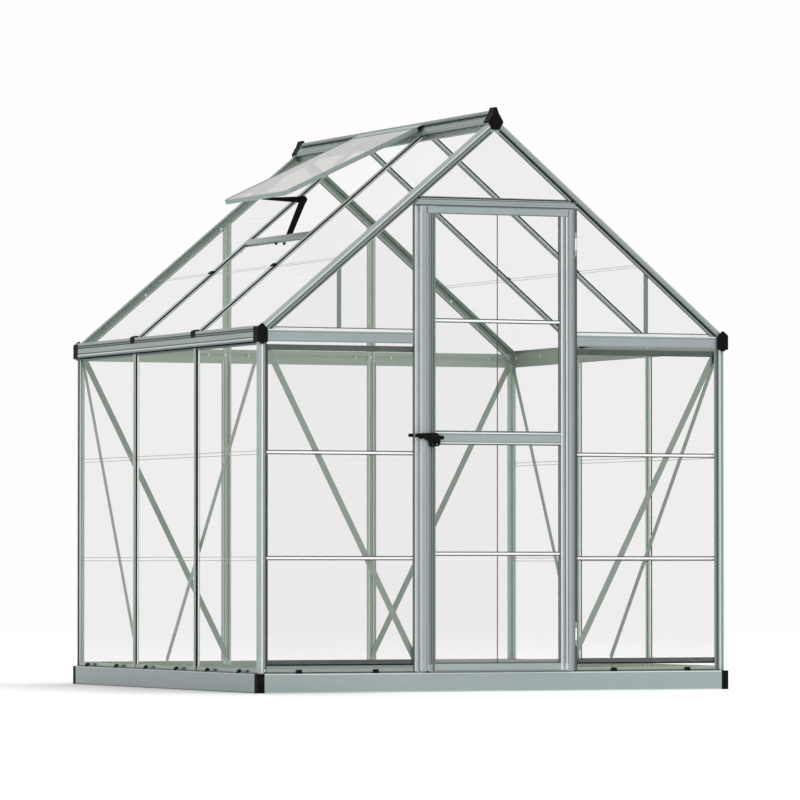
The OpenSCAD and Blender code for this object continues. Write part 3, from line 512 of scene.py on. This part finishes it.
def laid(name, tree, places, material, body, head_height=1.3):
    """One plain mesh of everything laid in one finish. A place is its start, the way it
    runs, the way it faces and its three sizes, in millimetres."""
    points = bpy.data.meshes.new(name + "_places")
    points.from_pydata([Vector(start) * MM for start, _, _, _ in places], [], [])
    turn = points.attributes.new("turn", "FLOAT_VECTOR", "POINT")
    size = points.attributes.new("size", "FLOAT_VECTOR", "POINT")
    for i, (_, along, facing, sizes) in enumerate(places):
        x = Vector(along).normalized()
        z = Vector(facing)
        z = (z - z.dot(x) * x).normalized()
        turn.data[i].vector = Matrix((x, z.cross(x), z)).transposed().to_euler("XYZ")
        size.data[i].vector = Vector(sizes) * MM
    carrier = bpy.data.objects.new(name + "_carrier", points)
    bpy.context.scene.collection.objects.link(carrier)
    modifier = carrier.modifiers.new("laid", "NODES")
    modifier.node_group = tree
    for item in tree.interface.items_tree:
        if item.in_out == "INPUT" and item.name == "Finish":
            modifier[item.identifier] = material
        if item.in_out == "INPUT" and item.name == "Head Height":
            modifier[item.identifier] = head_height
    mesh = evaluated(carrier)
    carrier.modifiers.remove(modifier)
    bpy.data.objects.remove(carrier)
    link(name, mesh, body)


# ------------------------------------------------------------------ section lines
# The beads noted so far, by finish and body: each pair becomes one piece. In the rows below
# a bead is a place, a width and a finish, unless a comment says otherwise. Most beads are
# painted shade and painted highlights along the sections: dark where shade falls in grooves,
# behind steps and under lips, bright where an edge or face catches the light.
LINES = {}


def line(finish, start, end, width, facing, body="house", both="", high=0.8):
    """Notes one bead from start to end, so wide and standing so high, and its mirror images
    across the building's middle, in x, in y or in both."""
    for sx in (1, -1) if "x" in both else (1,):
        for sy in (1, -1) if "y" in both else (1,):
            turned = Vector((sx, sy, 1))
            a, b, n = Vector(start) * turned, Vector(end) * turned, Vector(facing) * turned
            bead = (a, b - a, n, ((b - a).length, width, 2 * high))
            LINES.setdefault((finish, body), []).append(bead)


def up(finish, x, z0, z1, width, y=FRONT, facing=OUT, **more):
    """An upright bead."""
    line(finish, (x, y, z0), (x, y, z1), width, facing, **more)


def over(finish, z, x0, x1, width, y=FRONT, **more):
    """A level bead across an end wall."""
    line(finish, (x0, y, z), (x1, y, z), width, OUT, **more)


def lengthwise(finish, x, z, reach, width, facing=LEFT):
    """A bead along both long sides, reaching so far each way from the middle."""
    line(finish, (x, -reach, z), (x, reach, z), width, facing, both="x")


def down_slope(finish, y, deep, x0, x1, width, facing, **more):
    """A bead along a roof bar, so deep under the roof line."""
    line(finish, (x0, y, roof_z(x0, deep)), (x1, y, roof_z(x1, deep)), width, facing, **more)


def leaf_lines():
    """Section lines on the front of the door leaf's stiles and rails."""
    leaf = {"y": LEAF, "body": "door"}
    low, high = node_box("door_stiles")
    rail_end, rail_foot = 277, 1703
    stiles = ((-299.8, 3.5, PALE), (-280, 3, STEP), (-264.8, 3.5, STEP), (-257, 4, STEP),
              (-253, 4, GROOVE), (-249, 3.5, STEP), (249.5, 4, ARRIS), (253.4, 3.5, PALE),
              (269.4, 3.5, ARRIS), (273.2, 3, PALE), (295, 7, STEP), (300.8, 2.5, SHADE))
    for x, width, finish in stiles:
        top = high.z - 1 if abs(x) > rail_end else rail_foot - 1
        up(finish, x, low.z + 1, top, width, **leaf)
    # The head rail's ends butt against the stiles
    for x in (-rail_end, rail_end):
        up(GROOVE, x, rail_foot, round(high.z) - 1, 2.5, **leaf)
    # The leaf's closing side, which looks to the light
    up(PALE, low.x, low.z + 2, high.z - 2, 14, y=-932.5, facing=LEFT, body="door", high=0.4)
    rails = ((1727.5, 3, STEP), (rail_foot, 3.5, SHADE), (917, 3, STEP), (920.8, 4, ARRIS),
             (888.3, 3, STEP), (885, 4, ARRIS), (75, 5, STEP))
    for z, width, finish in rails:
        over(finish, z, -244, 246, width, **leaf)


def leaf_sheet_shade():
    """Painted shade on the leaf's sheets, along their rails and stiles."""
    sheet = {"y": LEAF + 10, "body": "door"}
    reach = 246
    over(SHADE, 926.5, -reach, reach, 6, **sheet)
    over(SHADE, 881, -reach, reach, 5, **sheet)
    for x, finish in ((-243, SHADE), (242, GROOVE)):
        for z0, z1 in ((100, 884), (926, 1703)):
            up(finish, x, z0, z1, 3.5, **sheet)
    over(STEP, 107.5, -reach, reach, 13, **sheet)
    over(SHADE, 101.5, -reach, reach, 3, high=1.2, **sheet)


# Ends of the seals up the wall sheets, and the near end of what starts at a door post
SEAL_FOOT, SEAL_HEAD = 96, 1228
BY_DOOR = 321


def door_post_lines():
    """Section lines on the front of the door posts, and the seal beside the right one."""
    low, high = node_box("door_posts")
    for x, width, finish in ((-320.4, 3.2, GROOVE), (-317, 3.5, STEP), (-312.8, 4, ARRIS),
                             (-305, 11, PALE), (315.8, 3.5, SHADE), (319.8, 4, GROOVE)):
        up(finish, x, low.z + 4, high.z - 1, width)
    up(SEAL_AND_SHADOW, 323.8, SEAL_FOOT, SEAL_HEAD, 3.5, y=PANE - 0.5)


def transom_lines():
    """Edges of the stepped transom, and the top sheet's seal over it."""
    # Height, width, finish, and the face of the transom that the bead is on
    nose, step = -927.2, -923
    for z, width, finish, y in ((1731, 3.5, SHADE, nose), (1737, 6, STEP, step),
                                (1742, 3, SHADE, step), (1753.5, 3.5, SHADE, step)):
        over(finish, z, -318, 318, width, y=y)
    over(SEAL_AND_SHADOW, 1758.5, -BAY, BAY, 5.5, y=PANE - 4, high=2)
    over(STEP, 1763.5, -300, 300, 4, y=PANE)


def tie_rail_lines():
    """Section lines of the front tie rails, and the gable sheets' foot above them."""
    low, high = node_box("front_tie_rails")
    for z, width, finish in ((high.z - 0.5, 3.5, ARRIS), (high.z - 8, 3, STEP),
                             (low.z + 2.5, 3, STEP)):
        over(finish, z, BY_DOOR, 898, width, both="x")
    over(SHADE, 1289, BY_DOOR, 860, 3.5, y=PANE - 0.5, both="x")
    over(SHEET_EDGE, 1283.5, BY_DOOR, 870, 7, y=PANE - 0.3, both="x")


def corner_post_lines():
    """Section lines of the front corner posts, of which the back posts share the outer
    ones, and at the corners of the long walls the black flanks and the pale flanks of painted
    highlight."""
    # Place, width, finish, and whether the back has it too
    posts = ((-902, 5, ARRIS, "y"), (-894.5, 7, STEP, "y"), (-888, 5, GROOVE, ""),
             (876, 6, STEP, ""), (881.5, 6, SHADE, ""), (887.5, 5, GROOVE, ""),
             (897, 7, PALE, "y"), (905, 6, STEP, "y"))
    for x, width, finish, both in posts:
        up(finish, x, POST_FOOT, POST_HEAD, width, both=both)
    up(SEAL_AND_SHADOW, -883, SEAL_FOOT, SEAL_HEAD, 4, y=PANE - 0.3)
    up(SEAL_AND_SHADOW, SIDE, POST_FOOT, POST_HEAD, 13, y=899, facing=LEFT, both="x")
    up(PALE, -909.3, POST_FOOT, POST_HEAD, 5.5, y=892, both="x")


def base_lines():
    """Painted shade and highlights along the base plates: behind their top edge the sill lies in
    shade and the edge is bright, the front plates are paler along their foot and the side plates
    darker.
    """
    reach, side_reach, edge = 895, 900, BASE_TOP - 2.5
    for x0, x1 in ((-reach, -BAY), (BAY, reach)):
        over(GROOVE, BASE_TOP + 3.5, x0, x1, 4, both="y")
    over(ARRIS, edge, -reach, reach, 2.5, y=BASE_FRONT, both="y")
    over(PALE, 2.2, -reach, reach, 3, y=BASE_FRONT, both="y")
    lengthwise(SHADE, SILL_EDGE, BASE_TOP + 2, side_reach, 4)
    lengthwise(PALE, BASE_SIDE, edge, side_reach, 2)
    lengthwise(SHADE, BASE_SIDE, 1.6, side_reach - 4, 3)
    # The seal along the front sheets' foot
    over(SEAL_AND_SHADOW, 98.5, BY_DOOR, 880, 5, y=PANE + 1.5, both="x", high=1.0)


def side_post_lines():
    """Section lines of the side posts, and the black line and the sheet's cut edge in the
    joint with the sheets, on both flanks."""
    for y in (-BAY, BAY):
        # The black line shows wider beside the front posts
        seal, wide = (-10.5, 11) if y < 0 else (-13, 6)
        for shift, width, finish in ((seal, wide, SEAL_AND_SHADOW), (7, 3, STEP), (13.5, 3.5, PALE)):
            up(finish, SIDE, POST_FOOT, POST_HEAD, width, y=y + shift, facing=LEFT, both="x")
        for flank in (-1, 1):
            joint = {"y": y + HALF_POST * flank, "facing": (0, flank, 0), "both": "x"}
            for x, width, finish in ((SIDE + 2, 4, SEAL_AND_SHADOW), (SIDE + 7.2, 5, SHEET_EDGE)):
                up(finish, x, SILL_TOP + 2, POST_HEAD, width, **joint)


def back_post_lines():
    """The back wall's posts, inside and outside: a dark slot and pale edges."""
    middle = 306
    post = ((-14, 4, PALE), (-8, 3, STEP), (11, 3, GROOVE), (14.5, 3, PALE))
    for x in (-middle, middle):
        for y, way in ((INNER, -1), (-FRONT, 1)):
            for shift, width, finish in post:
                up(finish, x + shift, SILL_TOP + 2, POST_HEAD, width, y=y, facing=(0, way, 0))


def gutter_lines():
    """Section lines down the gutters' outer faces, and below them on the wall a black line and a
    band of painted shade.
    """
    low, high = node_box("left_gutter")
    out, groove = low.x, low.x + 2
    # Depth under the gutter's top, width, finish, and how far out the bead lies
    lines = ((12.5, 5, GROOVE, groove), (16.3, 3, STEP, out), (20, 4.5, GROOVE, groove),
             (41.5, 3.5, SHADE, groove), (46, 3.5, PALE, out), (53, 3, SHADE, out),
             (57, 4.5, SEAL_AND_SHADOW, SIDE - 0.5), (63, 6, SHADE, SIDE + 1))
    for deep, width, finish, x in lines:
        lengthwise(finish, x, high.z - deep, 888, width)


def ridge_lines():
    """Lines down the ridge's two faces, the last one the dark joint under its lips."""
    top = node_box("ridge_beam")[1].z
    # Distance down the face from the crest, width, finish
    for down, width, finish in ((3, 3, PALE), (12, 3, STEP), (19, 6, SHADE), (24, 2.5, SEAL_AND_SHADOW)):
        x = -down * math.cos(PITCH)
        z = top - down * math.sin(PITCH) - 1
        lengthwise(finish, x, z, 870, width, facing=UP_SLOPE)


# Where the beads along the rafters and roof bars start, over the eaves
EAVE = 898


def gable_lines():
    """Section lines of the gable rafters' outer faces, and the seal along their inner ones."""
    # So deep under the roof line the outer face is set back
    head, flange, set_back = 16, 25, 3
    # Depth under the roof line, width and finish, on the left slope and on the right one
    left = ((9.7, 3, ARRIS), (16.5, 5.5, SHADE), (21.8, 4.5, STEP), (28.5, 8, GROOVE))
    right = ((11.5, 3, STEP), (17, 3, STEP), (20, 3.5, SHADE), (24, 5, SEAL_AND_SHADOW),
             (28, 3, SHADE), (35, 4, SHADE))
    for side, rows in ((-1, left), (1, right)):
        for deep, width, finish in rows:
            y = FRONT + (set_back if deep > flange else 0)
            down_slope(finish, y, deep, side * EAVE, side * head, width, OUT, both="y")
    for deep, width, finish in ((2.2, 4.5, SEAL_AND_SHADOW), (6.5, 3, GROOVE), (31, 2.5, PALE)):
        down_slope(finish, INNER, deep, -EAVE, -head, width, OUT, both="xy")


def roof_bar_lines():
    """The black lines and pale lines of painted highlight on the roof bars' flanks, and the lines
    along their tops.
    """
    head = 24
    for y in (-BAY, BAY):
        for flank in (-1, 1):
            for deep, width, finish in ((2.6, 5.5, SEAL_AND_SHADOW), (8, 3, PALE)):
                down_slope(finish, y + HALF_POST * flank, deep, -EAVE, -head, width,
                           (0, flank, 0), both="x")
        for shift, width, finish, high in ((-3, 3, STEP, 0.8), (5, 7, PALE, 0.4)):
            down_slope(finish, y + shift, 0, -EAVE, -head, width, UP_SLOPE, both="x", high=high)


def joiner_ways(size, mid):
    """Which way a joiner's width, its length and its outer face lie."""
    x_way, y_way, z_way = Vector((1, 0, 0)), Vector((0, 1, 0)), Vector((0, 0, 1))
    side = math.copysign(1, mid.x)
    if size.y > 100 and size.x > 5:
        # On the roof
        up_roof = Vector((-side * math.cos(PITCH), 0, math.sin(PITCH)))
        return up_roof, y_way, Vector((side * math.sin(PITCH), 0, math.cos(PITCH)))
    if size.y > 100:
        # On a long wall
        return z_way, y_way, Vector((side, 0, 0))
    # On an end wall, upright or level
    across, along = (x_way, z_way) if size.z > 60 else (z_way, x_way)
    return across, along, Vector((0, math.copysign(1, mid.y), 0))


def joiner_lines(corners, body):
    """Both edges of one joiner between two sheets, on its outer face, and on the front the
    bright sheet edge between them. A seam has one line down its middle."""
    low, high = box_of(corners)
    mid = (low + high) / 2
    ways = joiner_ways(high - low, mid)
    (near, far), (start, end), (_, face) = (
        [pick(c.dot(way) / MM for c in corners) for pick in (min, max)] for way in ways)
    across, along, facing = ways
    wide = far - near
    on_front = body == "door" or mid.y < -900
    on_back = mid.y > 900
    # What is wider is a whole sheet, and the back wall's joints have no beads
    if wide > 20 or on_back:
        return

    def bead(finish, row, width, high):
        a, b = (across * row + along * at + facing * face for at in (start, end))
        line(finish, a, b, width, facing, body=body, high=high)

    middle = (near + far) / 2
    finish, width = (JOINT_EDGE, 3.6) if on_front else (FAINT_EDGE, 2.4)
    if wide < 9:
        bead(finish, middle, width, 0.5)
        return
    # On the front the edges show a little over the joiner's middle
    lift = 1.8 if on_front else 0
    for row in (near, far):
        bead(finish, row + lift, width, 0.5)
    if on_front:
        bead(SHEET_EDGE, middle + lift, wide - 4, 0.4)


def joint_lines():
    """The joints between the sheets of the building and of the door."""
    for node, body in (("sheet_joiners", "house"), ("door_sheets", "door")):
        for corners in solids(node):
            joiner_lines(corners, body)


def moulded_ribs():
    """Fine ribs on the black end pieces, made paler than the rest by a painted highlight."""
    fine = {"both": "xy", "high": 0.3}
    for x, width in ((-912, 1.6), (-919, 1.4), (-905, 1.2)):
        up(RIB, x, 4, BASE_TOP - 4, width, y=BASE_FRONT - 0.6, **fine)
    low = node_box("gutter_end_caps")[0]
    for x, width in ((-913, 2.2), (-907, 1.4), (-919.5, 1.2)):
        up(RIB, x, low.z + 3, low.z + 44, width, y=low.y + 0.3, **fine)
    low, high = node_box("ridge_end_caps")
    y, reach = low.y + 0.3, 22
    for drop in (16, 22):
        start, end = high.z - drop, high.z - drop - reach * math.tan(PITCH)
        line(RIB, (0, y, start), (-reach, y, end), 1.6, OUT, **fine)


def hinge_bars():
    """A painted highlight down the face of each hinge's long knuckle, beside the door post."""
    for corners in solids("door_hinges"):
        low, high = box_of(corners)
        x = (low.x + high.x) / 2
        if high.z - low.z > 40:
            up(ARRIS, x, low.z + 1, high.z - 1, 7, y=low.y, body="door", high=0.4)


def sill_lugs():
    """By each hook on the sill, a small lug along the long sides and a shade at the ends."""
    for corners in solids("frame_clips"):
        low, high = box_of(corners)
        mid = (low + high) / 2
        on_sill = high.z < SILL_TOP + 6
        if on_sill and abs(mid.x) > 900:
            side = math.copysign(1, mid.x)
            x, z, start, end = -side * SILL_EDGE, BASE_TOP + 8, mid.y - 58, mid.y - 80
            line(SHADE, (x, start, z), (x, end, z), 11, (side, 0, 0), high=2.5)
        if on_sill and abs(mid.y) > 900:
            side = math.copysign(1, mid.y)
            y, z, start, end = -side * FRONT, BASE_TOP + 3, mid.x - 40, mid.x - 24
            line(SHADE, (start, y, z), (end, y, z), 4, (0, side, 0), high=1.0)


leaf_lines()
leaf_sheet_shade()
door_post_lines()
transom_lines()
tie_rail_lines()
corner_post_lines()
base_lines()
side_post_lines()
back_post_lines()
gutter_lines()
ridge_lines()
gable_lines()
roof_bar_lines()
joint_lines()
moulded_ribs()
hinge_bars()
sill_lugs()

# The piece that each finish's beads make, and its slot
LAID_AS = {
    SEAL_AND_SHADOW: ("rubber_seals_and_painted_shadows", "black_plastic"),
    GROOVE: ("section_grooves", "frame_aluminium"),
    STEP: ("section_steps", "frame_aluminium"),
    SHADE: ("shaded_steps", "frame_aluminium"),
    SHEET_EDGE: ("cut_sheet_edges", "clear_polycarbonate"),
    ARRIS: ("bright_arrises", "frame_aluminium"),
    PALE: ("pale_faces", "frame_aluminium"),
    RIB: ("moulded_ribs", "black_plastic"),
    JOINT_EDGE: ("joint_edges", "clear_polycarbonate"),
    FAINT_EDGE: ("clear_joint_edges", "clear_polycarbonate"),
}
for (finish, body), places in LINES.items():
    name, slot = LAID_AS[finish]
    laid(name + "_" + body, BEADS, places, finish, body)


# ------------------------------------------------------------------ bolts
def bolts():
    """Bolt heads and nuts: where they are, which way they face, and their radius."""
    bright, dark = [], []

    def bolt(rows, at, facing, radius):
        side = (1, 0, 0) if abs(facing[0]) < 0.9 else (0, 1, 0)
        rows.append((at, side, facing, (radius,) * 3))

    # Back tie rail, in pairs by the posts and near the corners
    for x in (-382, -308, -216, 233, 299, 384, -800, 800):
        bolt(bright, (x, INNER, 1258), (0, -1, 0), 5)
    # Rafter feet and corner brackets on the tie rails and gutters, inside
    rail_y, rail_z = INNER - 0.5, 1262
    for sx in (-1, 1):
        for sy in (-1, 1):
            bolt(bright, (sx * 885, sy * rail_y, rail_z), (0, -sy, 0), 5)
            for y in (860, 640, BAY):
                bolt(bright, (sx * GUTTER_INNER, sy * y, rail_z), (-sx, 0, 0), 5)
    # Through the ends of the vent's cross rail and its rafters
    into_roof = (math.sin(PITCH), 0, -math.cos(PITCH))
    for x, y in ((-493, 290), (-464, 290), (-495, -290), (-456, -290)):
        bolt(bright, (x, y, roof_z(x, 13)), into_roof, 6)
    for x in (-472, -440):
        bolt(dark, (x, 0, 1640), (0, 0, -1), 7)
    # Gable rafters to the ridge and posts, inside
    for sx in (-1, 1):
        for sy in (-1, 1):
            for x in (60, 330, 640):
                bolt(bright, (sx * x, sy * rail_y, roof_z(x, 24)), (0, -sy, 0), 5)
    # A stud and a plug by the left foot of the door, and a stud by the left corner
    for rows, x, z, radius in ((bright, -266, 80, 3), (bright, -893, 80, 4), (dark, -266, 72, 5)):
        bolt(rows, (x, FRONT - 0.4, z), (0, -1, 0), radius)
    laid("zinc_bolts", BOLTS, bright, ZINC, "house")
    laid("black_knobs", BOLTS, dark, NYLON, "house", head_height=2.0)


bolts()


# ------------------------------------------------------------------ studio
def sky(scene):
    """A pale sky, brighter overhead, that shows as plain near-white behind the building."""
    world = bpy.data.worlds.new("studio")
    scene.world = world
    world.use_nodes = True
    tree = world.node_tree
    tree.nodes.clear()
    at = add(tree, "ShaderNodeTexCoord")
    rise = add(tree, "ShaderNodeSeparateXYZ", {0: at.outputs["Generated"]})
    level = add(tree, "ShaderNodeMapRange", {0: rise.outputs[2], 1: -0.1, 2: 1.0,
                                             3: 1.12, 4: 1.35})
    lit = add(tree, "ShaderNodeBackground", {"Strength": level})
    seen = add(tree, "ShaderNodeBackground", {"Color": linear("#fefefe"), "Strength": 1.0})
    path = add(tree, "ShaderNodeLightPath")
    mix = add(tree, "ShaderNodeMixShader", {0: path.outputs["Is Camera Ray"], 1: lit, 2: seen})
    add(tree, "ShaderNodeOutputWorld", {"Surface": mix})


def pale_floor(scene):
    """A plain floor 80 m wide. It glows a little, so that it is as even as the sky; near the
    building's left side its colour and glow are darkened by a painted shadow."""
    half = 40
    floor = bpy.data.meshes.new("floor")
    corners = [(-half, -half, 0), (half, -half, 0), (half, half, 0), (-half, half, 0)]
    floor.from_pydata(corners, [], [(0, 1, 2, 3)])
    floor_object = bpy.data.objects.new("floor", floor)
    scene.collection.objects.link(floor_object)
    material, tree = new_material("pale_floor")
    # Painted soft shadow along the building's left side, as if the light came from the right
    at = add(tree, "ShaderNodeSeparateXYZ", {0: add(tree, "ShaderNodeTexCoord").outputs["Object"]})
    left = add(tree, "ShaderNodeMapRange", {0: at.outputs[0], 1: -0.35, 2: -0.95, 3: 0.0, 4: 0.95})
    near = add(tree, "ShaderNodeAmbientOcclusion", {"Distance": 0.75}, samples=16)
    hidden = add(tree, "ShaderNodeMath", {0: 1.0, 1: near.outputs["AO"]}, operation="SUBTRACT")
    shade = add(tree, "ShaderNodeMath", {0: left, 1: hidden}, operation="MULTIPLY")
    unshadowed = add(tree, "ShaderNodeMath", {0: 1.0, 1: shade}, operation="SUBTRACT")
    dull = add(tree, "ShaderNodeVectorMath", {0: linear("#959595")[:3], "Scale": unshadowed},
               operation="SCALE")
    glow = add(tree, "ShaderNodeMath", {0: 0.68, 1: unshadowed}, operation="MULTIPLY")
    finish_with(tree, add(tree, "ShaderNodeBsdfPrincipled", {
        "Base Color": dull, "Roughness": 0.95, "Specular IOR Level": 0.0,
        "Emission Color": linear("#ffffff"), "Emission Strength": glow}))
    floor.materials.append(material)


def lamps(scene):
    """Two soft square lamps: the key high on the right, the fill lower in front, on the left."""
    for name, place, size, power in (("key", (7, 2, 10), 6, 450), ("fill", (-9, -12, 6), 6, 300)):
        data = bpy.data.lights.new(name, "AREA")
        data.size = size
        data.energy = power
        light = bpy.data.objects.new(name, data)
        light.location = place
        aim = Vector((0, 0, 1)) - Vector(place)
        light.rotation_euler = aim.to_track_quat("-Z", "Y").to_euler()
        scene.collection.objects.link(light)


def studio():
    """The plain pale surroundings and their soft light."""
    scene = bpy.context.scene
    scene.view_settings.view_transform = "Standard"
    scene.view_settings.look = "None"
    # A look through the building passes many clear sheets and their beads
    scene.cycles.transparent_max_bounces = 48
    sky(scene)
    pale_floor(scene)
    lamps(scene)


studio()
